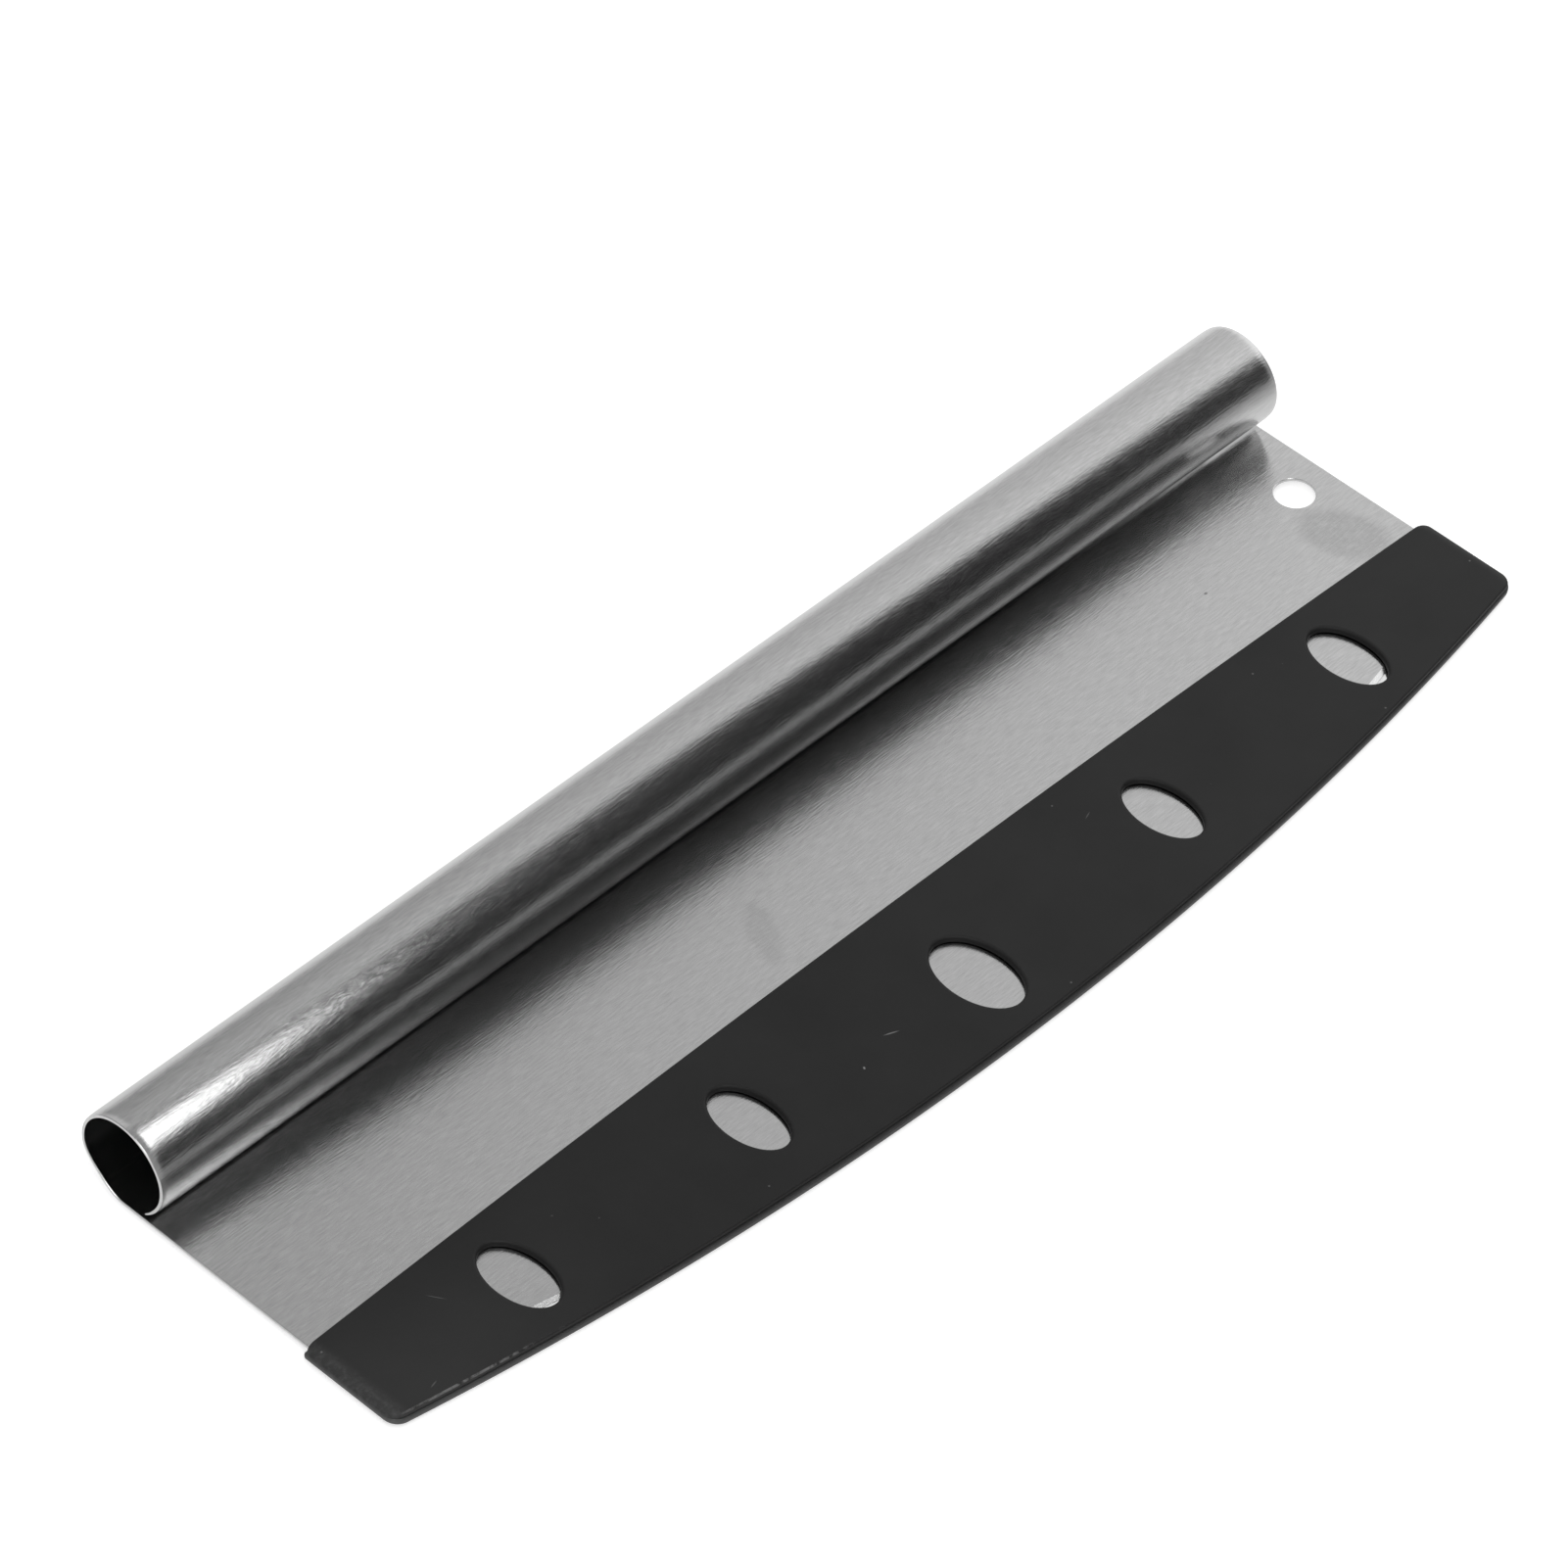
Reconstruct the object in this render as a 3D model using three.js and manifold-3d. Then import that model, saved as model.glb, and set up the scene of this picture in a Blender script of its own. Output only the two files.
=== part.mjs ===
// A rocker pizza cutter. One stainless sheet is ground to a curved edge along its lower side and
// rolled into an open tubular handle along its upper side. A plastic guard of two halves covers
// the edge and pulls straight off it.
// Millimetres: +X runs along the handle, +Y from the edge to the handle, +Z up from the flat back.

import * as THREE from 'three';
import { mergeVertices } from 'three/addons/utils/BufferGeometryUtils.js';
import Module from 'manifold-3d';

const wasm = await Module();
wasm.setup();

// Driving dimensions of the steel sheet
const SHEET = 0.8;
const BLADE_LENGTH = 350;
const HANDLE_RADIUS = 12.3;
const HANDLE_FLATTENING = 1;
const FLATTENED_DEGREES = 85;
const LIP_DEGREES = 235;
const HANDLE_TO_EDGE = 95.2;
const EDGE_RADIUS = 640;
const EDGE_CORNER_RADIUS = 3;
const BEVEL_WIDTH = 1.2;
const EDGE_THICKNESS = 0.2;
const HOLE_RADIUS = 4.85;
const HOLE_TO_END = 11;
const HOLE_TO_HANDLE = 28.4;

// Driving dimensions of the guard
const GUARD_WALL = 1.5;
const SLOT_CLEARANCE = 0.3;
const END_CLEARANCE = 0.4;
const END_WALL = 1.7;
const EDGE_COVER = 41.6;
const EDGE_CLEARANCE = 1.3;
const FLOOR_WALL = 3;
const GUARD_FLATTER_BY = 300;
const PLATE_STEP = 0.75;
const PLATE_FLATTER_BY = 30;
const MOUTH_BOW = 2.45;
const GUARD_CORNER_RADIUS = 4;
const MOUTH_CORNER_RADIUS = 2;
const SMALLEST_CORNER = 0.2;
const FACE_CHAMFER = 0.3;
const END_CHAMFER = 0.9;
const BACK_ROUNDING = 2.2;
const END_ROUNDING = 3.5;
const SEAM_WIDTH = 0.4;
const SEAM_DEPTH = 0.4;

// Driving dimensions of the oval windows
const WINDOW_PITCH = 65.6;
const MIDDLE_WINDOW = { halfWidth: 7.8, halfLength: 12.2, drop: 4.1 };
const SIDE_WINDOW = { halfWidth: 6.35, halfLength: 10.7, drop: 0 };
const SIDE_WINDOWS_EACH_END = 2;

// Fineness of the curves
const ROLL_STEPS = 78;
const ARC_STEPS = 40;
const CORNER_STEPS = 6;
const OVAL_STEPS = 20;
const ROUNDING_STEPS = 4;
const CUT_MARGIN = 5;
const MERGE_DISTANCE = 1e-4;

// Heights, from the guard's back at zero
const slotFloor = GUARD_WALL;
const sheetBack = slotFloor + SLOT_CLEARANCE;
const sheetFront = sheetBack + SHEET;
const seamHeight = sheetFront + SLOT_CLEARANCE;
const guardFront = seamHeight + GUARD_WALL;
const axisZ = sheetBack + HANDLE_RADIUS;
const handleTop = axisZ + HANDLE_RADIUS;

// Places across the blade, with the origin midway between the handle's back and the guard's rim
const guardBelowEdge = EDGE_CLEARANCE + FLOOR_WALL;
const overallHeight = HANDLE_RADIUS + HANDLE_TO_EDGE + guardBelowEdge;
const axisY = overallHeight / 2 - HANDLE_RADIUS;
const edgeY = axisY - HANDLE_TO_EDGE;
const mouthY = edgeY + EDGE_COVER;
const rimY = edgeY - guardBelowEdge;

// Sizes along the blade
const bladeHalf = BLADE_LENGTH / 2;
const slotHalf = bladeHalf + END_CLEARANCE;
const guardHalf = slotHalf + END_WALL;
const rimRadius = EDGE_RADIUS + GUARD_FLATTER_BY;
const mouthRadius = (guardHalf ** 2 + MOUTH_BOW ** 2) / (2 * MOUTH_BOW);

// Rims of the guard's two halves: the front plate stands back from the tray below it
const trayRim = { lowest: rimY, radius: rimRadius };
const plateRim = { lowest: rimY + PLATE_STEP, radius: rimRadius + PLATE_FLATTER_BY };

const steel = new THREE.MeshStandardMaterial({ color: 0xb2b2b2, roughness: 0.32, metalness: 1 });
const plastic = new THREE.MeshStandardMaterial({ color: 0x2c2c2c, roughness: 0.62, metalness: 0 });

// A closed geometry as a solid that can be joined and cut
function solidFrom(geometry) {
  const bare = geometry.clone();
  bare.deleteAttribute('normal');
  bare.deleteAttribute('uv');
  const merged = mergeVertices(bare, MERGE_DISTANCE);
  const vertProperties = Float32Array.from(merged.attributes.position.array);
  const triVerts = Uint32Array.from(merged.index.array);
  return new wasm.Manifold(new wasm.Mesh({ numProp: 3, vertProperties, triVerts }));
}

function meshFrom(name, solid, material) {
  const { numProp, vertProperties, triVerts } = solid.getMesh();
  const geometry = new THREE.BufferGeometry();
  geometry.setAttribute('position', new THREE.BufferAttribute(vertProperties, numProp));
  geometry.setIndex(new THREE.BufferAttribute(triVerts, 1));
  geometry.computeVertexNormals();
  const mesh = new THREE.Mesh(geometry, material);
  mesh.name = name;
  return mesh;
}

// A solid through rings of one outline, each at its own height and counter-clockwise from above
function loft(rings) {
  const size = rings[0].points.length;
  const position = rings.flatMap(({ points, z }) => points.flatMap((point) => [point.x, point.y, z]));
  const index = [];
  for (const [a, b, c] of THREE.ShapeUtils.triangulateShape(rings[0].points, [])) {
    index.push(c, b, a);
  }
  for (let ring = 0; ring + 1 < rings.length; ring += 1) {
    for (let step = 0; step < size; step += 1) {
      const next = (step + 1) % size;
      const [low, high] = [ring * size, (ring + 1) * size];
      index.push(low + step, low + next, high + next);
      index.push(low + step, high + next, high + step);
    }
  }
  const last = (rings.length - 1) * size;
  for (const [a, b, c] of THREE.ShapeUtils.triangulateShape(rings.at(-1).points, [])) {
    index.push(last + a, last + b, last + c);
  }
  const geometry = new THREE.BufferGeometry();
  geometry.setAttribute('position', new THREE.Float32BufferAttribute(position, 3));
  geometry.setIndex(index);
  return solidFrom(geometry);
}

function extrude(shape, bottom, top, curveSegments) {
  const settings = { depth: top - bottom, bevelEnabled: false, curveSegments };
  return solidFrom(new THREE.ExtrudeGeometry(shape, settings).translate(0, 0, bottom));
}

function oval(x, y, halfWidth, halfLength, bottom, top) {
  const shape = new THREE.Shape().absellipse(x, y, halfWidth, halfLength, 0, 2 * Math.PI);
  return extrude(shape, bottom, top, OVAL_STEPS);
}

function arc(centreX, centreY, radius, from, to, steps) {
  const at = (step) => from + ((to - from) * step) / steps;
  return Array.from({ length: steps + 1 }, (_, step) => new THREE.Vector2(
    centreX + radius * Math.cos(at(step)),
    centreY + radius * Math.sin(at(step)),
  ));
}

// The lower side of an outline, left to right: a long arc between two rounded corners
function bowedSide(halfLength, lowest, radius, corner) {
  const centreY = lowest + radius;
  const cornerX = halfLength - corner;
  const tilt = Math.asin(cornerX / (radius - corner));
  const cornerY = centreY - (radius - corner) * Math.cos(tilt);
  const down = 1.5 * Math.PI;
  return [
    ...arc(-cornerX, cornerY, corner, Math.PI, down - tilt, CORNER_STEPS),
    ...arc(0, centreY, radius, down - tilt, down + tilt, ARC_STEPS).slice(1, -1),
    ...arc(cornerX, cornerY, corner, down + tilt, 2 * Math.PI, CORNER_STEPS),
  ];
}

// An outline with a bowed lower side and a straight top
function openOutline(halfLength, lowest, radius, corner, top) {
  return [
    ...bowedSide(halfLength, lowest, radius, corner),
    new THREE.Vector2(halfLength, top),
    new THREE.Vector2(-halfLength, top),
  ];
}

// Outline of a half of the guard, moved in from its rim and mouth, and by its own inset from its ends
function guardOutline({ lowest, radius }, inset, endInset) {
  const half = guardHalf - endInset;
  const rimCorner = Math.max(GUARD_CORNER_RADIUS - inset, SMALLEST_CORNER);
  const mouthCorner = Math.max(MOUTH_CORNER_RADIUS - inset, SMALLEST_CORNER);
  const rim = bowedSide(half, lowest + inset, radius - inset, rimCorner);
  const mouth = bowedSide(half, inset - mouthY, mouthRadius - inset, mouthCorner);
  return [...rim, ...mouth.map((point) => point.negate())];
}

// Heights of the guard's two long sides at a place along it
function mouthAt(x) {
  return mouthY - mouthRadius + Math.sqrt(mouthRadius ** 2 - x ** 2);
}

function rimAt(x) {
  return rimY + rimRadius - Math.sqrt(rimRadius ** 2 - x ** 2);
}

// Outer radius of the roll: it leaves the flat sheet on a slightly flattened stretch
function rollRadius(angle) {
  const share = (angle + Math.PI / 2) / THREE.MathUtils.degToRad(FLATTENED_DEGREES);
  return HANDLE_RADIUS - (share < 1 ? HANDLE_FLATTENING * Math.sin(Math.PI * share) ** 2 : 0);
}

// Section of the sheet across the handle, drawn as Y to the right and Z up
function sheetSection() {
  const start = -Math.PI / 2;
  const end = THREE.MathUtils.degToRad(LIP_DEGREES);
  const roll = (depth) => Array.from({ length: ROLL_STEPS + 1 }, (_, step) => {
    const angle = start + ((end - start) * step) / ROLL_STEPS;
    const radius = rollRadius(angle) - depth;
    return new THREE.Vector2(axisY + radius * Math.cos(angle), axisZ + radius * Math.sin(angle));
  });
  const lowEnd = edgeY - CUT_MARGIN;
  return new THREE.Shape([
    new THREE.Vector2(lowEnd, sheetBack),
    ...roll(0),
    ...roll(SHEET).reverse(),
    new THREE.Vector2(lowEnd, sheetFront),
  ]);
}

// Plan of the blade through its thickness, ground on both faces towards a thin edge
function bladePlan() {
  const middle = (sheetBack + sheetFront) / 2;
  const top = axisY + HANDLE_RADIUS + CUT_MARGIN;
  const ring = (z, inset) => ({
    z,
    points: openOutline(bladeHalf, edgeY + inset, EDGE_RADIUS - inset, EDGE_CORNER_RADIUS, top),
  });
  return loft([
    ring(sheetBack - CUT_MARGIN, BEVEL_WIDTH),
    ring(sheetBack, BEVEL_WIDTH),
    ring(middle - EDGE_THICKNESS / 2, 0),
    ring(middle + EDGE_THICKNESS / 2, 0),
    ring(sheetFront, BEVEL_WIDTH),
    ring(handleTop + CUT_MARGIN, BEVEL_WIDTH),
  ]);
}

function rolledBlade() {
  const length = BLADE_LENGTH + 2 * CUT_MARGIN;
  const section = new THREE.ExtrudeGeometry(sheetSection(), { depth: length, bevelEnabled: false });
  const alongX = new THREE.Matrix4().makeBasis(
    new THREE.Vector3(0, 1, 0),
    new THREE.Vector3(0, 0, 1),
    new THREE.Vector3(1, 0, 0),
  );
  section.translate(0, 0, -length / 2).applyMatrix4(alongX);
  const holeX = bladeHalf - HOLE_TO_END;
  const holeY = axisY - HOLE_TO_HANDLE;
  const holeBottom = sheetBack - CUT_MARGIN;
  const holeTop = sheetFront + CUT_MARGIN;
  const hole = oval(holeX, holeY, HOLE_RADIUS, HOLE_RADIUS, holeBottom, holeTop);
  return solidFrom(section).intersect(bladePlan()).subtract(hole);
}

// The five windows, each centred between mouth and rim apart from the lower middle one
function guardWindows() {
  const windows = [];
  for (let place = -SIDE_WINDOWS_EACH_END; place <= SIDE_WINDOWS_EACH_END; place += 1) {
    const { halfWidth, halfLength, drop } = place === 0 ? MIDDLE_WINDOW : SIDE_WINDOW;
    const x = place * WINDOW_PITCH;
    const y = (mouthAt(x) + rimAt(x)) / 2 - drop;
    windows.push(oval(x, y, halfWidth, halfLength, -CUT_MARGIN, guardFront + CUT_MARGIN));
  }
  return windows.reduce((all, window) => all.add(window));
}

// The front plate sits on the tray, with a groove along the seam at the rim
function guardFrontPlate() {
  const ring = (z, inset, endInset) => ({ z, points: guardOutline(plateRim, inset, endInset) });
  const plate = loft([
    ring(seamHeight, SEAM_DEPTH, 0),
    ring(seamHeight + SEAM_WIDTH, SEAM_DEPTH, 0),
    ring(seamHeight + SEAM_WIDTH, 0, 0),
    ring(guardFront - FACE_CHAMFER, 0, 0),
    ring(guardFront, FACE_CHAMFER, END_CHAMFER),
  ]);
  return plate.subtract(guardWindows());
}

// The back tray is rounded towards its back and holds the slot for the sheet, open along the mouth
function guardBackTray() {
  const ring = (z, share) => ({
    z,
    points: guardOutline(trayRim, BACK_ROUNDING * share, END_ROUNDING * share),
  });
  const rounding = Array.from({ length: ROUNDING_STEPS + 1 }, (_, step) => {
    const turn = (Math.PI / 2) * (step / ROUNDING_STEPS);
    return ring(BACK_ROUNDING * (1 - Math.cos(turn)), 1 - Math.sin(turn));
  });
  const tray = loft([...rounding, ring(seamHeight, 0)]);
  const slotCorner = GUARD_CORNER_RADIUS - END_WALL;
  const slotPlan = openOutline(
    slotHalf,
    rimY + FLOOR_WALL,
    rimRadius - FLOOR_WALL,
    slotCorner,
    mouthY + CUT_MARGIN,
  );
  const slot = loft([
    { z: slotFloor, points: slotPlan },
    { z: seamHeight + CUT_MARGIN, points: slotPlan },
  ]);
  return tray.subtract(slot).subtract(guardWindows());
}

const cutter = new THREE.Group();
cutter.add(meshFrom('rolled_blade', rolledBlade(), steel));

const guard = new THREE.Group();
guard.add(meshFrom('guard_front_plate', guardFrontPlate(), plastic));
guard.add(meshFrom('guard_back_tray', guardBackTray(), plastic));

const pizzaCutter = new THREE.Group();
pizzaCutter.add(cutter, guard);

export default pizzaCutter;
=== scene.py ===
import math

import bmesh
import bpy
import numpy as np
from mathutils import Matrix, Quaternion, Vector
from mathutils.geometry import tessellate_polygon


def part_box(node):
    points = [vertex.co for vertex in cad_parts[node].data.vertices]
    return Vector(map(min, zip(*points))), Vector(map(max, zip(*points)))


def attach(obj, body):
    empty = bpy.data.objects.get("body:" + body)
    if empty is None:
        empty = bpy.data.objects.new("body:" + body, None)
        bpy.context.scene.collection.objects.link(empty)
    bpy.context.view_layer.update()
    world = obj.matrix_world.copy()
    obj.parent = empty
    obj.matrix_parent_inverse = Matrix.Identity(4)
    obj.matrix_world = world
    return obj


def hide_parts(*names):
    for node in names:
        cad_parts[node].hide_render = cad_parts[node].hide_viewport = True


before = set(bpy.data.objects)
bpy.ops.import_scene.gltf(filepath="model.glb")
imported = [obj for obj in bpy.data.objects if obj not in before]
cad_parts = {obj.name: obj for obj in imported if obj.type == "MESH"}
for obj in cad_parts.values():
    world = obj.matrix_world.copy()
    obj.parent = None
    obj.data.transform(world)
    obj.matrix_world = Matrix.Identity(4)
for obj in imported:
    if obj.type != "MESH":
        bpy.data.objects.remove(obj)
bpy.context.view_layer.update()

MM = 0.001

# Sizes read from the frame
blade_low, blade_high = (Vector(corner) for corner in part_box("rolled_blade"))
plate_low, plate_high = (Vector(corner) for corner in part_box("guard_front_plate"))
tray_low, tray_high = (Vector(corner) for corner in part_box("guard_back_tray"))
BLADE_HALF = blade_high.x
EDGE_Y = blade_low.y
SHEET_BACK = blade_low.z
HANDLE_RADIUS = (blade_high.z - blade_low.z) / 2
AXIS_Y = blade_high.y - HANDLE_RADIUS
AXIS_Z = SHEET_BACK + HANDLE_RADIUS
GUARD_HALF = tray_high.x
RIM_Y = tray_low.y
PLATE_RIM_Y = plate_low.y
MOUTH_Y = plate_high.y
GUARD_BACK = tray_low.z
SEAM_Z = tray_high.z
GUARD_FRONT = plate_high.z

# Steel sheet
SHEET = 0.8 * MM
SHEET_FRONT = SHEET_BACK + SHEET
HANDLE_FLATTENING = 1.0 * MM
FLATTENED_TURN = math.radians(85)
LIP_ANGLE = math.radians(235)
LIP_TAPER_LENGTH = 4 * MM
LIP_THICKNESS = 0.45 * MM
EDGE_RADIUS = 640 * MM
EDGE_CORNER = 3 * MM
EDGE_THICKNESS = 0.2 * MM
BEVEL_WIDTH = 1.2 * MM
HOLE_RADIUS = 4.85 * MM
HOLE_X = BLADE_HALF - 11 * MM
HOLE_Y = AXIS_Y - 28.4 * MM
CUT_ROUNDING = 0.2 * MM
END_CURL_LENGTH = 2.2 * MM
END_CURL_DEPTH = 0.16 * MM
END_CURL_TURN = math.radians(60)

# Guard
RIM_RADIUS = EDGE_RADIUS + 300 * MM
PLATE_RIM_RADIUS = RIM_RADIUS + 30 * MM
MOUTH_BOW = 2.45 * MM
MOUTH_RADIUS = (GUARD_HALF**2 + MOUTH_BOW**2) / (2 * MOUTH_BOW)
GUARD_CORNER = 4 * MM
PLATE_MOUTH_CORNER = 2.2 * MM
TRAY_MOUTH_CORNER = 0.7 * MM
SMALLEST_CORNER = 0.2 * MM
GUARD_WALL = GUARD_FRONT - SEAM_Z
END_WALL = 1.7 * MM
FLOOR_WALL = 3 * MM
SEAM_WIDTH = 0.4 * MM
SEAM_DEPTH = 0.4 * MM

# Rounded edges of the guard
BACK_ROUNDING = 2.2 * MM
BACK_END_ROUNDING = 3.5 * MM
BACK_STEPS = 12
FACE_FILLET = 0.35 * MM
END_FILLET = 2.6 * MM
END_FILLET_DEPTH = 1.0 * MM
FACE_STEPS = 12
WINDOW_FILLET = 0.8 * MM
WINDOW_STEPS = 8
LEDGE_FILLET = 0.3 * MM
LIP_FILLET = 0.1 * MM
FACE_SUPPORT = 0.25 * MM

# Windows: half width, half length and how far below the middle of the guard
WINDOW_PITCH = 65.6 * MM
MIDDLE_WINDOW = (7.8 * MM, 12.2 * MM, 4.1 * MM)
SIDE_WINDOW = (6.35 * MM, 10.7 * MM, 0.0)
WINDOW_PLACES = (-2, -1, 0, 1, 2)
WINDOW_POINTS = 72

# Edges sharper than these angles, in degrees, stay sharp in the shading
GUARD_SHARP = 35
STEEL_SHARP = 10


# Mesh helpers

def new_object(name, data):
    made = bpy.data.objects.new(name, data)
    bpy.context.scene.collection.objects.link(made)
    return made


def new_mesh(name, points, faces):
    mesh = bpy.data.meshes.new(name)
    mesh.from_pydata([tuple(point) for point in points], [], faces)
    mesh.update()
    return mesh


def shade_smooth(mesh, sharp_degrees):
    mesh.polygons.foreach_set("use_smooth", [True] * len(mesh.polygons))
    mesh.set_sharp_from_angle(angle=math.radians(sharp_degrees))


def apply_modifiers(piece):
    """Replaces the piece's mesh by what its modifiers make of it."""
    graph = bpy.context.evaluated_depsgraph_get()
    made = bpy.data.meshes.new_from_object(piece.evaluated_get(graph))
    made.name = piece.name
    piece.modifiers.clear()
    piece.data = made


def cut_away(piece, cutter):
    """Cuts the cutter's shape out of a piece, and deletes the cutter."""
    cut = piece.modifiers.new("cut", "BOOLEAN")
    cut.operation = "DIFFERENCE"
    cut.solver = "EXACT"
    cut.object = cutter
    apply_modifiers(piece)
    bpy.data.objects.remove(cutter)


# Outlines

def arc(centre, radius, start, end, steps):
    angles = np.linspace(start, end, steps + 1)
    return np.column_stack([
        centre[0] + radius * np.cos(angles),
        centre[1] + radius * np.sin(angles),
    ])


def bowed_side(half_length, lowest, radius, corner, arc_steps=96, corner_steps=12):
    """The lower side of an outline, left to right: a long arc between two rounded corners."""
    centre_y = lowest + radius
    corner_x = half_length - corner
    tilt = math.asin(corner_x / (radius - corner))
    corner_y = centre_y - (radius - corner) * math.cos(tilt)
    down = 1.5 * math.pi
    return np.vstack([
        arc((-corner_x, corner_y), corner, math.pi, down - tilt, corner_steps),
        arc((0, centre_y), radius, down - tilt, down + tilt, arc_steps)[1:-1],
        arc((corner_x, corner_y), corner, down + tilt, 2 * math.pi, corner_steps),
    ])


# Each half of the guard: lowest point and radius of its rim, and radius of its mouth corners
TRAY = (RIM_Y, RIM_RADIUS, TRAY_MOUTH_CORNER)
PLATE = (PLATE_RIM_Y, PLATE_RIM_RADIUS, PLATE_MOUTH_CORNER)


def guard_outline(half_of_guard, inset, end_inset):
    """Outline of a half of the guard, moved in from its rim and mouth and from its two ends."""
    lowest, radius, corner = half_of_guard
    half = GUARD_HALF - end_inset
    rim_corner = max(GUARD_CORNER - inset, SMALLEST_CORNER)
    mouth_corner = max(corner - inset, SMALLEST_CORNER)
    below = bowed_side(half, lowest + inset, radius - inset, rim_corner)
    above = bowed_side(half, inset - MOUTH_Y, MOUTH_RADIUS - inset, mouth_corner)
    return np.vstack([below, -above])


def window_outline(place, grow):
    half_width, half_length, drop = SIDE_WINDOW if place else MIDDLE_WINDOW
    x = place * WINDOW_PITCH
    mouth = MOUTH_Y - MOUTH_RADIUS + math.sqrt(MOUTH_RADIUS**2 - x**2)
    rim = RIM_Y + RIM_RADIUS - math.sqrt(RIM_RADIUS**2 - x**2)
    turn = np.linspace(0, 2 * math.pi, WINDOW_POINTS, endpoint=False)
    return np.column_stack([
        x + (half_width + grow) * np.cos(turn),
        (mouth + rim) / 2 - drop + (half_length + grow) * np.sin(turn),
    ])


def fillet(size, steps=4):
    """Inset and drop of each point round a quarter circle, from the side of a plate to its face."""
    turn = np.linspace(0, math.pi / 2, steps + 1)
    return [(size * (1 - math.cos(a)), size * (1 - math.sin(a))) for a in turn]


def rounding(width, depth, drop):
    """Inset of an elliptical edge rounding at a drop below the face."""
    return width * (1 - math.sqrt(1 - max(0, 1 - drop / depth) ** 2))


# Plates with windows

def stack_faces(starts, size, inward):
    """The sides of a stack of rings, given the first point of each ring."""
    faces = []
    for low, high in zip(starts, starts[1:]):
        for step in range(size):
            following = (step + 1) % size
            quad = [low + step, low + following, high + following, high + step]
            faces.append(quad[::-1] if inward else quad)
    return faces


def cap_faces(points, loops, upward):
    """The flat face of a plate, between its outer loop and the loops of its holes."""
    faces = []
    index = [vertex for loop in loops for vertex in loop]
    for triangle in tessellate_polygon([[Vector(points[v]) for v in loop] for loop in loops]):
        corners = [index[v] for v in triangle]
        a, b, c = (Vector(points[v]) for v in corners)
        is_up = (b - a).cross(c - a).z > 0
        faces.append(corners if is_up == upward else corners[::-1])
    return faces


def plate_mesh(name, outer, holes):
    """A closed plate from stacks of rings, bottom to top: the outer stack and one for each hole."""
    points, faces = [], []
    bottom_loops, top_loops = [], []
    for stack in [outer] + holes:
        size = len(stack[0][0])
        starts = [len(points) + size * ring for ring in range(len(stack))]
        for outline, z in stack:
            points.extend((x, y, z) for x, y in outline)
        faces += stack_faces(starts, size, inward=stack is not outer)
        bottom_loops.append(range(starts[0], starts[0] + size))
        top_loops.append(range(starts[-1], starts[-1] + size))
    faces += cap_faces(points, bottom_loops, upward=False)
    faces += cap_faces(points, top_loops, upward=True)
    return new_mesh(name, points, faces)


def guard_mesh(name, half_of_guard, rings, window_rings):
    """Half of the guard, from rings of inset, inset at the ends and height, and windows' rings."""
    outer = [(guard_outline(half_of_guard, inset, end_inset), z) for inset, end_inset, z in rings]
    holes = [[(window_outline(place, grow), z) for grow, z in window_rings] for place in WINDOW_PLACES]
    return plate_mesh(name, outer, holes)


def window_edge(face, inwards):
    """Growth and height of a window's rings, round its edge onto a face."""
    rings = [(grow, face - inwards * drop) for grow, drop in fillet(WINDOW_FILLET, WINDOW_STEPS)]
    return rings + [(WINDOW_FILLET + FACE_SUPPORT, face)]


def guard_front_plate():
    """The front plate, with the groove of the seam under its rim and softly rounded ends."""
    under_lip = SEAM_Z + SEAM_WIDTH
    rings = [
        (SEAM_DEPTH + FACE_SUPPORT, FACE_SUPPORT, SEAM_Z),
        (SEAM_DEPTH, 0, SEAM_Z),
        (SEAM_DEPTH, 0, under_lip),
    ]
    rings += [(inset, 0, under_lip + drop) for inset, drop in fillet(LIP_FILLET)[::-1]]
    for turn in np.linspace(0, math.pi / 2, FACE_STEPS + 1):
        drop = END_FILLET_DEPTH * (1 - math.sin(turn))
        inset = rounding(FACE_FILLET, FACE_FILLET, drop)
        end_inset = rounding(END_FILLET, END_FILLET_DEPTH, drop)
        rings.append((inset, end_inset, GUARD_FRONT - drop))
    rings.append((FACE_FILLET + FACE_SUPPORT, END_FILLET + FACE_SUPPORT, GUARD_FRONT))
    window_rings = [(FACE_SUPPORT, SEAM_Z), (0, SEAM_Z)] + window_edge(GUARD_FRONT, 1)
    mesh = guard_mesh("guard_front_plate_skin", PLATE, rings, window_rings)
    shade_smooth(mesh, GUARD_SHARP)
    return new_object("guard_front_plate_skin", mesh)


def slot_cutter():
    """The room for the sheet in the tray, which is open to the mouth and to the front plate."""
    overshoot = 5 * MM
    half = GUARD_HALF - END_WALL
    floor_radius = RIM_RADIUS - FLOOR_WALL
    below = bowed_side(half, RIM_Y + FLOOR_WALL, floor_radius, GUARD_CORNER - END_WALL)
    above = MOUTH_Y + overshoot
    outline = np.vstack([below, [(half, above), (-half, above)]])
    stack = [(outline, GUARD_BACK + GUARD_WALL), (outline, SEAM_Z + overshoot)]
    return new_object("slot_cutter", plate_mesh("slot_cutter", stack, []))


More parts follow.
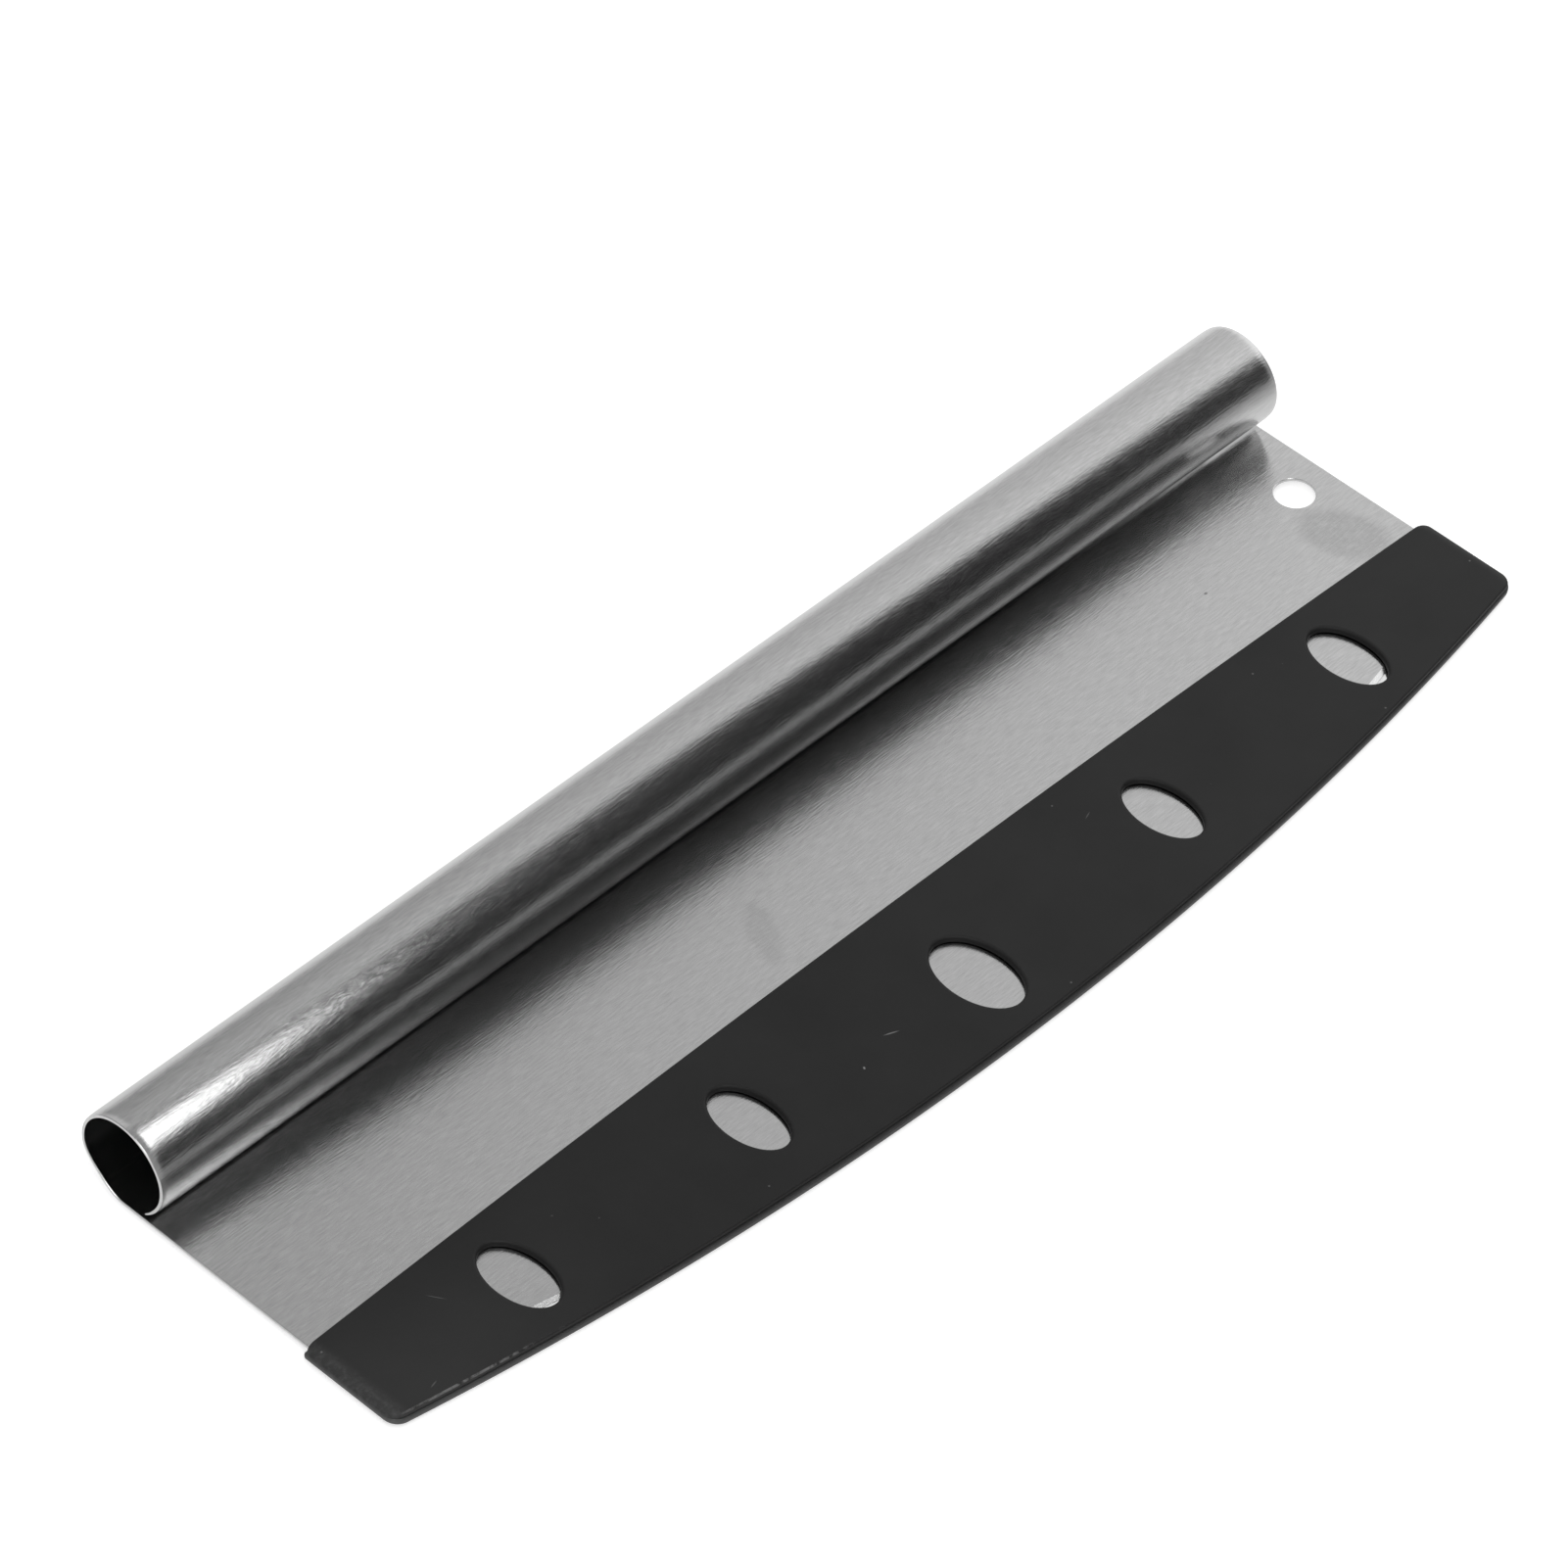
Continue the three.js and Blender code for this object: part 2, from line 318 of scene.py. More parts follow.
def guard_back_tray():
    """The back tray, with a rounded back, the slot for the sheet and the same windows."""
    end_share = BACK_END_ROUNDING / BACK_ROUNDING
    back_edge = fillet(BACK_ROUNDING, BACK_STEPS)[::-1]
    rings = [(BACK_ROUNDING + FACE_SUPPORT, BACK_END_ROUNDING + FACE_SUPPORT, GUARD_BACK)]
    rings += [(inset, end_share * inset, GUARD_BACK + drop) for inset, drop in back_edge]
    rings += [(inset, inset, SEAM_Z - drop) for inset, drop in fillet(LEDGE_FILLET)]
    window_rings = window_edge(GUARD_BACK, -1)[::-1] + [(0, SEAM_Z)]
    mesh = guard_mesh("guard_back_tray_skin", TRAY, rings, window_rings)
    tray = new_object("guard_back_tray_skin", mesh)
    cut_away(tray, slot_cutter())
    shade_smooth(tray.data, GUARD_SHARP)
    return tray


# The rolled sheet, a grid of rows along it and columns across it, with its flat pattern as UV map

ROLL_STEPS = 200
MAIN_COLUMNS = 120
CORNER_TURNS = np.radians([0, 15, 30, 45, 60, 90])
JUNCTION = 0.4 * MM
HOLE_PAD = 8 * MM
HOLE_ROW = 2
HOLE_POINTS = 96
HOLE_FIRST_TURN = math.radians(-135)
FLAT_PATTERN = "flat_pattern"
STEEL_FACE, STEEL_CUT, STEEL_GROUND = 0, 1, 2


def edge_height(x, inset):
    """The y of the cutting edge's curve at x, moved in from the edge by inset."""
    radius = EDGE_RADIUS - inset
    centre_y = EDGE_Y + EDGE_RADIUS
    corner_x = BLADE_HALF - EDGE_CORNER
    reach = radius - EDGE_CORNER
    tangent_x = corner_x * radius / reach
    if abs(x) <= tangent_x:
        return centre_y - math.sqrt(radius**2 - x**2)
    corner_y = centre_y - math.sqrt(reach**2 - corner_x**2)
    return corner_y - math.sqrt(max(EDGE_CORNER**2 - (abs(x) - corner_x) ** 2, 0))


def roll_radius(angle):
    """Outer radius of the roll, which leaves the flat sheet on a slightly flattened stretch."""
    share = (angle + math.pi / 2) / FLATTENED_TURN
    flattening = HANDLE_FLATTENING * math.sin(math.pi * share) ** 2 if share < 1 else 0
    return HANDLE_RADIUS - flattening


def end_curl(x, angle):
    """How far the sheared ends of the handle turn inwards."""
    along = max(0, (abs(x) - BLADE_HALF) / END_CURL_LENGTH + 1)
    around = min(1, (angle + math.pi / 2) / END_CURL_TURN)
    return END_CURL_DEPTH * along**2 * around


def roll_thickness(angle):
    """The sheet's thickness in the roll, which tapers towards the lip."""
    to_lip = (LIP_ANGLE - angle) * HANDLE_RADIUS / LIP_TAPER_LENGTH
    return LIP_THICKNESS + (SHEET - LIP_THICKNESS) * min(1, to_lip)


def blade_columns():
    corner_x = BLADE_HALF - EDGE_CORNER
    round_end = corner_x + EDGE_CORNER * np.sin(CORNER_TURNS)
    main = np.linspace(-corner_x, HOLE_X - HOLE_PAD, MAIN_COLUMNS)
    return np.concatenate([-round_end[:0:-1], main, round_end])


def curved_row(inset, thickness):
    """A row that follows the cutting edge."""
    middle = (SHEET_BACK + SHEET_FRONT) / 2

    def at(x):
        y = edge_height(x, inset)
        return y - AXIS_Y, (y, middle - thickness / 2), (y, middle + thickness / 2)

    return at


def straight_row(y):
    """A straight row on the flat of the sheet."""
    return lambda x: (y - AXIS_Y, (y, SHEET_BACK), (y, SHEET_FRONT))


def rolled_row(angle, length):
    """A row in the roll, at a length from where the roll begins."""
    direction = np.array([math.cos(angle), math.sin(angle)])
    axis = np.array([AXIS_Y, AXIS_Z])

    def at(x):
        outer = roll_radius(angle) - end_curl(x, angle)
        inner = outer - roll_thickness(angle)
        return length, axis + outer * direction, axis + inner * direction

    return at


def blade_rows():
    """Each row gives, at a column's x, its place in the flat pattern, back point and front point."""
    rows = [curved_row(0, EDGE_THICKNESS), curved_row(BEVEL_WIDTH, SHEET)]
    rows += [straight_row(y) for y in (HOLE_Y - HOLE_PAD, HOLE_Y + HOLE_PAD, AXIS_Y - JUNCTION)]
    angles = np.linspace(-math.pi / 2, LIP_ANGLE, ROLL_STEPS + 1)
    length = 0.0
    for angle in angles:
        rows.append(rolled_row(angle, length))
        length += (angles[1] - angles[0]) * (roll_radius(angle) - SHEET / 2)
    return rows


def sheet_points(columns, rows):
    """The points of the back and then the front, and where each is in the flat pattern."""
    places = [(x, *row(x)) for row in rows for x in columns]
    back = [(x, *back_point) for x, _, back_point, _ in places]
    front = [(x, *front_point) for x, _, _, front_point in places]
    pattern = [(across, x) for x, across, _, _ in places]
    return back + front, pattern + pattern


def hole_points():
    """The points of the hole's circle on the back and then the front, and in the flat pattern."""
    turns = HOLE_FIRST_TURN + np.linspace(0, 2 * math.pi, HOLE_POINTS, endpoint=False)
    circle = [
        (HOLE_X + HOLE_RADIUS * math.cos(turn), HOLE_Y + HOLE_RADIUS * math.sin(turn))
        for turn in turns
    ]
    points = [(x, y, z) for z in (SHEET_BACK, SHEET_FRONT) for x, y in circle]
    pattern = [(y - AXIS_Y, x) for x, y in circle]
    return points, pattern + pattern


def grid_cells(grid, hole_cell):
    height, width = grid.shape
    return [(i, j) for i in range(height - 1) for j in range(width - 1) if (i, j) != hole_cell]


def cell_corners(grid, i, j):
    return [grid[i, j], grid[i, j + 1], grid[i + 1, j + 1], grid[i + 1, j]]


def hole_ring(grid, hole_cell, circle):
    """Four faces that fill the hole's cell from its corners to the circle."""
    corners = cell_corners(grid, *hole_cell)
    quarter = len(circle) // 4
    faces = []
    for k in range(4):
        arc_back = [circle[(quarter * (k + 1) - step) % len(circle)] for step in range(quarter + 1)]
        faces.append([corners[k], corners[(k + 1) % 4]] + arc_back)
    return faces


def side_faces(grid, hole_cell, circle):
    """One side of the sheet, with the hanging hole in one of its cells."""
    faces = [cell_corners(grid, i, j) for i, j in grid_cells(grid, hole_cell)]
    return faces + hole_ring(grid, hole_cell, circle)


def side_kinds(grid, hole_cell):
    """Which steel each face of a side is: the first row is ground to the cutting edge."""
    kinds = [STEEL_FACE if i else STEEL_GROUND for i, j in grid_cells(grid, hole_cell)]
    return kinds + [STEEL_FACE] * 4


def wall_faces(back_loop, front_loop):
    """A band of faces between two matching closed loops."""
    quads = zip(back_loop, np.roll(back_loop, -1), np.roll(front_loop, -1), front_loop)
    return [list(quad) for quad in quads]


def border(grid):
    return np.concatenate([grid[0, :-1], grid[:-1, -1], grid[-1, :0:-1], grid[:0:-1, 0]])


def blade_mesh():
    columns, rows = blade_columns(), blade_rows()
    points, pattern = sheet_points(columns, rows)
    circle_points, circle_pattern = hole_points()
    pattern += circle_pattern
    back = np.arange(len(rows) * len(columns)).reshape(len(rows), len(columns))
    front = back + back.size
    back_circle = 2 * back.size + np.arange(HOLE_POINTS)
    front_circle = back_circle + HOLE_POINTS
    hole_cell = (HOLE_ROW, int(np.searchsorted(columns, HOLE_X)) - 1)

    faces = side_faces(front, hole_cell, front_circle)
    faces += [face[::-1] for face in side_faces(back, hole_cell, back_circle)]
    walls = wall_faces(border(back), border(front)) + wall_faces(front_circle, back_circle)
    mesh = new_mesh("rolled_blade_skin", points + circle_points, faces + walls)
    kinds = side_kinds(back, hole_cell) * 2 + [STEEL_CUT] * len(walls)
    mesh.polygons.foreach_set("material_index", kinds)
    flat = mesh.uv_layers.new(name=FLAT_PATTERN)
    for loop in mesh.loops:
        flat.data[loop.index].uv = pattern[loop.vertex_index]
    return mesh


def round_cut_edges(blade):
    """Rounds the edges where the sheet was sheared or punched, apart from the ground cutting edge."""
    ground = edge_height(BLADE_HALF, 0) + BEVEL_WIDTH / 2
    shape = bmesh.new()
    shape.from_mesh(blade.data)
    weight = shape.edges.layers.float.new("bevel_weight_edge")
    for edge in shape.edges:
        kinds = {face.material_index for face in edge.link_faces}
        is_cut = STEEL_CUT in kinds and len(kinds) == 2
        lowest = min(vertex.co.y for vertex in edge.verts)
        if is_cut and lowest > ground:
            edge[weight] = 1
    shape.to_mesh(blade.data)
    shape.free()
    bevel = blade.modifiers.new("cut_edges", "BEVEL")
    bevel.limit_method = "WEIGHT"
    bevel.width = CUT_ROUNDING
    bevel.segments = 2
    apply_modifiers(blade)


def rolled_blade():
    blade = new_object("rolled_blade_skin", blade_mesh())
    round_cut_edges(blade)
    shade_smooth(blade.data, STEEL_SHARP)
    return blade


# Material helpers

NOISE_LOW, NOISE_HIGH = 0.3, 0.7


def add_node(tree, kind, sockets=None, **settings):
    node = tree.nodes.new(kind)
    for name, value in settings.items():
        setattr(node, name, value)
    for socket, value in (sockets or {}).items():
        if isinstance(value, bpy.types.NodeSocket):
            tree.links.new(value, node.inputs[socket])
        else:
            node.inputs[socket].default_value = value
    return node


def new_material(name):
    material = bpy.data.materials.new(name)
    material.use_nodes = True
    tree = material.node_tree
    tree.nodes.clear()
    shader = add_node(tree, "ShaderNodeBsdfPrincipled")
    add_node(tree, "ShaderNodeOutputMaterial", {"Surface": shader.outputs["BSDF"]})
    return material, tree, shader


def object_place(tree):
    return add_node(tree, "ShaderNodeTexCoord").outputs["Object"]


def math_node(tree, operation, first, second=0.0):
    return add_node(tree, "ShaderNodeMath", {0: first, 1: second}, operation=operation).outputs[0]


def multiply(tree, first, second):
    return math_node(tree, "MULTIPLY", first, second)


def add_up(tree, values):
    total = values[0]
    for value in values[1:]:
        total = math_node(tree, "ADD", total, value)
    return total


def vector_node(tree, operation, first, second=(0, 0, 0)):
    """Vector arithmetic, which gives a number for a length or a distance."""
    node = add_node(tree, "ShaderNodeVectorMath", {0: first, 1: second}, operation=operation)
    return node.outputs["Value" if operation in ("LENGTH", "DISTANCE") else "Vector"]


def along_axis(tree, vector, axis):
    return add_node(tree, "ShaderNodeSeparateXYZ", {0: vector}).outputs[axis]


def remap(tree, value, low, high, to_low, to_high, smooth=False):
    sockets = {
        "Value": value,
        "From Min": low,
        "From Max": high,
        "To Min": to_low,
        "To Max": to_high,
    }
    kind = "SMOOTHSTEP" if smooth else "LINEAR"
    return add_node(tree, "ShaderNodeMapRange", sockets, interpolation_type=kind).outputs["Result"]


def noise(tree, vector, scale, detail=3.0):
    """Noise with its own scale along each axis, in features per metre."""
    scaled = vector_node(tree, "MULTIPLY", vector, scale)
    sockets = {"Vector": scaled, "Scale": 1.0, "Detail": detail, "Roughness": 0.6}
    return add_node(tree, "ShaderNodeTexNoise", sockets).outputs["Fac"]


def vary(tree, grain, low, high):
    """A value that a noise varies from low to high."""
    return remap(tree, grain, NOISE_LOW, NOISE_HIGH, low, high)


def vary_by(tree, grain, mean, share):
    """A value that a noise varies by a share of its mean to either side."""
    return vary(tree, grain, mean * (1 - share), mean * (1 + share))


def grey(tree, value):
    return add_node(tree, "ShaderNodeCombineColor", {0: value, 1: value, 2: value}).outputs[0]


def add_bump(tree, shader, height, strength, distance):
    sockets = {"Strength": strength, "Distance": distance, "Height": height}
    bump = add_node(tree, "ShaderNodeBump", sockets)
    tree.links.new(bump.outputs["Normal"], shader.inputs["Normal"])


def oval(tree, vector, centre, half_size, turn, softness):
    """One inside an oval patch, fading to zero at its border."""
    sockets = {
        "Vector": vector,
        "Location": (centre[0] * MM, centre[1] * MM, 0),
        "Rotation": (0, 0, math.radians(turn)),
        "Scale": (half_size[0] * MM, half_size[1] * MM, 1),
    }
    local = add_node(tree, "ShaderNodeMapping", sockets, vector_type="TEXTURE").outputs[0]
    distance = vector_node(tree, "LENGTH", local)
    return remap(tree, distance, 1 - softness, 1 + softness, 1, 0, smooth=True)


def ovals(tree, vector, patches):
    """Oval patches, each with its own strength as its last value, added up."""
    return add_up(tree, [
        multiply(tree, oval(tree, vector, *patch), strength) for *patch, strength in patches
    ])


# Brushed stainless steel, with marks as (place along x and y, half sizes, turn, softness, darkening)

FINGER_MARKS = [
    ((162.0, -1.5), (7.4, 11.2), 21, 0.25, 0.18),
    ((-23.3, 4.5), (3.2, 9.5), -29, 0.4, 0.1),
]
PRINT_SPECKS = (700, 700, 1)
PRINT_ROUGHNESS = 0.3
DARK_SPOT = ((124.6, 7.5), (0.45, 0.35), 0, 0.4, 0.5)
FINE_BRUSHING, FINE_SHARE = (2400, 240, 1), 0.85
BROAD_BRUSHING, BROAD_SHARE = (700, 80, 1), 0.15
BRUSHING_DEPTH = 0.05 * MM
BRUSHING_ANISOTROPY = 0.85
STEEL_TINT = (0.42, 0.52)
STEEL_ROUGHNESS = (0.19, 0.23)
STEEL_CLOUDS = (30, 18, 1)
CLOUD_ROUGHNESS = 0.01

# Steel without brushing: mean tint and roughness, and how far its grain varies them
SHEARED_STEEL = (0.55, 0.36)
GROUND_STEEL = (0.6, 0.25)
PLAIN_GRAIN = (2500, 2500, 2500)
PLAIN_TINT_SHARE = 0.1
PLAIN_ROUGHNESS_SHARE = 0.15


def finger_marks(tree, place):
    """Greasy prints, broken up into ridges and specks."""
    specks = remap(tree, noise(tree, place, PRINT_SPECKS, detail=4), 0.35, 0.6, 0.65, 1)
    return multiply(tree, ovals(tree, place, FINGER_MARKS), specks)


def brushed_grain(tree, pattern):
    """Fine and broad brush lines that run along the handle, mixed."""
    fine = noise(tree, pattern, FINE_BRUSHING, detail=2)
    broad = noise(tree, pattern, BROAD_BRUSHING)
    return add_up(tree, [multiply(tree, fine, FINE_SHARE), multiply(tree, broad, BROAD_SHARE)])


def steel_face():
    material, tree, shader = new_material("brushed_steel_face")
    pattern = add_node(tree, "ShaderNodeUVMap", uv_map=FLAT_PATTERN).outputs["UV"]
    place = object_place(tree)
    grain = brushed_grain(tree, pattern)
    cloud = noise(tree, pattern, STEEL_CLOUDS, detail=2)
    marks = finger_marks(tree, place)
    darkening = math_node(tree, "MAXIMUM", marks, ovals(tree, place, [DARK_SPOT]))
    clean = math_node(tree, "SUBTRACT", 1, darkening)
    tint = multiply(tree, vary(tree, grain, *STEEL_TINT), clean)
    tree.links.new(grey(tree, tint), shader.inputs["Base Color"])
    roughness = add_up(tree, [
        vary(tree, grain, *STEEL_ROUGHNESS),
        remap(tree, cloud, 0.35, 0.65, -CLOUD_ROUGHNESS, CLOUD_ROUGHNESS),
        multiply(tree, marks, PRINT_ROUGHNESS),
    ])
    tree.links.new(roughness, shader.inputs["Roughness"])
    add_bump(tree, shader, grain, 1.0, BRUSHING_DEPTH)
    across = add_node(tree, "ShaderNodeTangent", direction_type="UV_MAP", uv_map=FLAT_PATTERN)
    tree.links.new(across.outputs["Tangent"], shader.inputs["Tangent"])
    shader.inputs["Metallic"].default_value = 1.0
    shader.inputs["Anisotropic"].default_value = BRUSHING_ANISOTROPY
    return material


def plain_steel(name, tint, roughness):
    """Steel without brushing, with a fine even grain."""
    material, tree, shader = new_material(name)
    grain = noise(tree, object_place(tree), PLAIN_GRAIN)
    varied_tint = vary_by(tree, grain, tint, PLAIN_TINT_SHARE)
    varied_roughness = vary_by(tree, grain, roughness, PLAIN_ROUGHNESS_SHARE)
    tree.links.new(grey(tree, varied_tint), shader.inputs["Base Color"])
    tree.links.new(varied_roughness, shader.inputs["Roughness"])
    shader.inputs["Metallic"].default_value = 1.0
    return material


# Matte black plastic, with marks and painted light as (place along x and y, half sizes, turn, softness,
# lightening)

SCRATCHES = [
    ((-26.4, -36.4), (1.5, 0.16), -22, 0.5, 0.12),
    ((-37.9, -39.3), (0.35, 0.2), 60, 0.5, 0.2),
    ((-164.7, -37.9), (0.9, 0.14), 13, 0.5, 0.05),
    ((-147.9, -21.6), (1.8, 0.1), -58, 0.5, 0.05),
    ((52.0, -22.0), (1.0, 0.12), 20, 0.5, 0.05),
]
# Painted light: a broad soft lightening over the guard's lower left corner and end, where the light falls
LEFT_END_PAINTED_LIGHT = ((-178.0, -46.0), (40.0, 26.0), 0, 0.9, 0.012)
# Painted light on the guard's left end band, broken up by scuffs
LEFT_END_LIGHT_AND_SCUFFS = ((-178.5, -30.0), (4.0, 60.0), 0, 0.5, 0.035)
LEFT_END_SCUFF_SCALE = (700, 700, 700)
PALE_RIM_PATCH = ((-158.0, -41.0), (16.0, 12.0), 0, 0.6, 0.1)
PALE_RIM_WIDTH = 0.45 * MM
PALE_RIM_FADE = 0.1 * MM
PALE_RIM_BREAKS = (500, 500, 500)
DUST_CELLS = 160.0
DUST_LIGHTENING = 0.08

# Mean tint and specular level of each half, and the plastic's texture. The tray's tint is lighter than
# the plate's as painted light on its shaded wall.
PLATE_PLASTIC = (0.009, 0.21)
TRAY_PLASTIC_WITH_PAINTED_LIGHT = (0.022, 0.5)
PLASTIC_GRAIN = (2600, 2600, 2600)
PLASTIC_TINT_SHARE = 0.2
PLASTIC_ROUGHNESS = (0.5, 0.62)
PLASTIC_BUMP = (0.3, 0.03 * MM)
PLASTIC_CLOUDS = (40, 40, 40)
PLASTIC_CLOUD_TINT = (-0.0015, 0.002)


def dust(tree, place):
    """Sparse pale specks, one in some of the cells."""
    cells = add_node(tree, "ShaderNodeTexVoronoi", {"Vector": place, "Scale": DUST_CELLS}).outputs
    dot = remap(tree, cells["Distance"], 0.02, 0.05, 1, 0, smooth=True)
    chance = add_node(tree, "ShaderNodeSeparateColor", {0: cells["Color"]}).outputs[0]
    kept = remap(tree, chance, 0.5, 0.8, 0, 1)
    return multiply(tree, multiply(tree, dot, kept), DUST_LIGHTENING)


def left_end_light_and_scuffs(tree, place):
    """Painted light on the guard's left end, broken up by scuffs."""
    scuffs = noise(tree, place, LEFT_END_SCUFF_SCALE, detail=4)
    light_broken_by_scuffs = remap(tree, scuffs, 0.45, 0.65, 0.45, 1)
    return multiply(tree, ovals(tree, place, [LEFT_END_LIGHT_AND_SCUFFS]), light_broken_by_scuffs)


def pale_rim_line(tree, place):
    """A broken pale line along the front plate's rounded rim, at one end."""
    centre = (0, PLATE_RIM_Y + PLATE_RIM_RADIUS, 0)
    flat_place = vector_node(tree, "MULTIPLY", place, (1, 1, 0))
    reach = vector_node(tree, "DISTANCE", flat_place, centre)
    inner = PLATE_RIM_RADIUS - PALE_RIM_WIDTH
    line = remap(tree, reach, inner - PALE_RIM_FADE, inner, 0, 1, smooth=True)
    height = along_axis(tree, place, "Z")
    front = remap(tree, height, GUARD_FRONT - FACE_FILLET, GUARD_FRONT - FACE_FILLET / 2, 0, 1)
    broken = remap(tree, noise(tree, place, PALE_RIM_BREAKS), 0.42, 0.58, 0, 1)
    broken_line = multiply(tree, multiply(tree, line, front), broken)
    return multiply(tree, broken_line, ovals(tree, place, [PALE_RIM_PATCH]))


def black_plastic(name, tint, specular):
    """Black plastic with a fine texture, of a given mean tint, with marks, dust and painted light on the
    guard's left end.
    """
    material, tree, shader = new_material(name)
    place = object_place(tree)
    grain = noise(tree, place, PLASTIC_GRAIN, detail=2)
    cloud = noise(tree, place, PLASTIC_CLOUDS)
    shade = add_up(tree, [
        vary_by(tree, grain, tint, PLASTIC_TINT_SHARE),
        vary(tree, cloud, *PLASTIC_CLOUD_TINT),
        # scratches, and a broad patch of painted light on the guard's left end
        ovals(tree, place, SCRATCHES + [LEFT_END_PAINTED_LIGHT]),
        # painted light on the guard's left end, broken up by scuffs
        left_end_light_and_scuffs(tree, place),
        pale_rim_line(tree, place),
        dust(tree, place),
    ])
    tree.links.new(grey(tree, shade), shader.inputs["Base Color"])
    tree.links.new(vary(tree, grain, *PLASTIC_ROUGHNESS), shader.inputs["Roughness"])
    add_bump(tree, shader, grain, *PLASTIC_BUMP)
    shader.inputs["Specular IOR Level"].default_value = specular
    return material


# Pieces

def place_blade():
    blade = rolled_blade()
    kinds = {
        STEEL_FACE: steel_face(),
        STEEL_CUT: plain_steel("sheared_steel_edge", *SHEARED_STEEL),
        STEEL_GROUND: plain_steel("ground_cutting_edge", *GROUND_STEEL),
    }
    for kind in sorted(kinds):
        blade.data.materials.append(kinds[kind])
    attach(blade, "cutter")
    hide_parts("rolled_blade")


def place_guard():
    plate_plastic = black_plastic("front_plate_plastic", *PLATE_PLASTIC)
    # The tray's lighter tint is painted light on its shaded wall
    tray_plastic_with_painted_light = black_plastic("back_tray_plastic_painted_light", *TRAY_PLASTIC_WITH_PAINTED_LIGHT)
    halves = [
        (guard_front_plate(), "guard_front_plate", plate_plastic),
        (guard_back_tray(), "guard_back_tray", tray_plastic_with_painted_light),
    ]
    for piece, node, plastic in halves:
        piece.data.materials.clear()
        piece.data.materials.append(plastic)
        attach(piece, "guard")
        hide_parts(node)


# Floor, with a glow for the camera that rises with distance, and another one for what is mirrored

FLOOR_HALF = 6.0
FLOOR_DROP = 0.05 * MM
FLOOR_TINT = 0.6
FLOOR_ROUGHNESS = 0.9
FLOOR_SPECULAR = 0.1
NEAR_GLOW, FAR_GLOW = 0.6, 1.0
GLOW_DISTANCES = (0.5, 2)
MIRRORED_GLOW = 0.5
MIRRORED_FADE = 0.05
MIRRORED_FROM, MIRRORED_FROM_BEYOND_END = -0.12, -0.02
BEYOND_END = (0.175, 0.19)


def seen_directly(tree):
    """One for rays from the camera, also through something clear."""
    rays = add_node(tree, "ShaderNodeLightPath").outputs
    return math_node(tree, "MAXIMUM", rays["Is Camera Ray"], rays["Is Transmission Ray"])


def seen_glow(tree, place):
    distance = vector_node(tree, "LENGTH", place)
    return remap(tree, distance, *GLOW_DISTANCES, NEAR_GLOW, FAR_GLOW, smooth=True)


def mirrored_glow(tree, place):
    """The glow in reflections. It begins in front of the guard, and further back beyond the right end."""
    along = along_axis(tree, place, "X")
    begins = remap(tree, along, *BEYOND_END, MIRRORED_FROM, MIRRORED_FROM_BEYOND_END)
    behind = math_node(tree, "SUBTRACT", along_axis(tree, place, "Y"), begins)
    return remap(tree, behind, 0, MIRRORED_FADE, 0, MIRRORED_GLOW, smooth=True)


def floor_glow(tree):
    """What the floor adds to its lit colour."""
    place = object_place(tree)
    mirrored = add_node(tree, "ShaderNodeLightPath").outputs["Is Glossy Ray"]
    return math_node(
        tree, "MAXIMUM",
        multiply(tree, seen_directly(tree), seen_glow(tree, place)),
        multiply(tree, mirrored, mirrored_glow(tree, place)),
    )


def white_floor():
    sides = [(-1, -1), (1, -1), (1, 1), (-1, 1)]
    corners = [(x * FLOOR_HALF, y * FLOOR_HALF, 0) for x, y in sides]
    floor = new_object("floor", new_mesh("floor", corners, [(0, 1, 2, 3)]))
    material, tree, shader = new_material("white_floor")
    shader.inputs["Base Color"].default_value = (FLOOR_TINT, FLOOR_TINT, FLOOR_TINT, 1)
    shader.inputs["Roughness"].default_value = FLOOR_ROUGHNESS
    shader.inputs["Specular IOR Level"].default_value = FLOOR_SPECULAR
    shader.inputs["Emission Color"].default_value = (1, 1, 1, 1)
    tree.links.new(floor_glow(tree), shader.inputs["Emission Strength"])
    floor.data.materials.append(material)
    floor.location.z = GUARD_BACK - FLOOR_DROP


# Studio light

STUDIO_LEVEL = 0.45
GAP_LEVEL = 0.025
GAP_MIDDLE = 0.52
GAP_HALF = 0.12
GAP_FADE = 0.06


def studio_world():
    """A soft grey studio, white to the camera, with a dark gap on the side that the steel mirrors."""
    world = bpy.data.worlds.new("studio")
    bpy.context.scene.world = world
    world.use_nodes = True
    tree = world.node_tree
    direction = add_node(tree, "ShaderNodeTexCoord").outputs["Generated"]
    from_middle = math_node(tree, "SUBTRACT", along_axis(tree, direction, "X"), GAP_MIDDLE)
    from_gap = math_node(tree, "ABSOLUTE", from_middle)
    gap_end = GAP_HALF + GAP_FADE
    level = remap(tree, from_gap, GAP_HALF, gap_end, GAP_LEVEL, STUDIO_LEVEL, smooth=True)
    shade = grey(tree, math_node(tree, "MAXIMUM", level, seen_directly(tree)))
    tree.links.new(shade, tree.nodes["Background"].inputs["Color"])


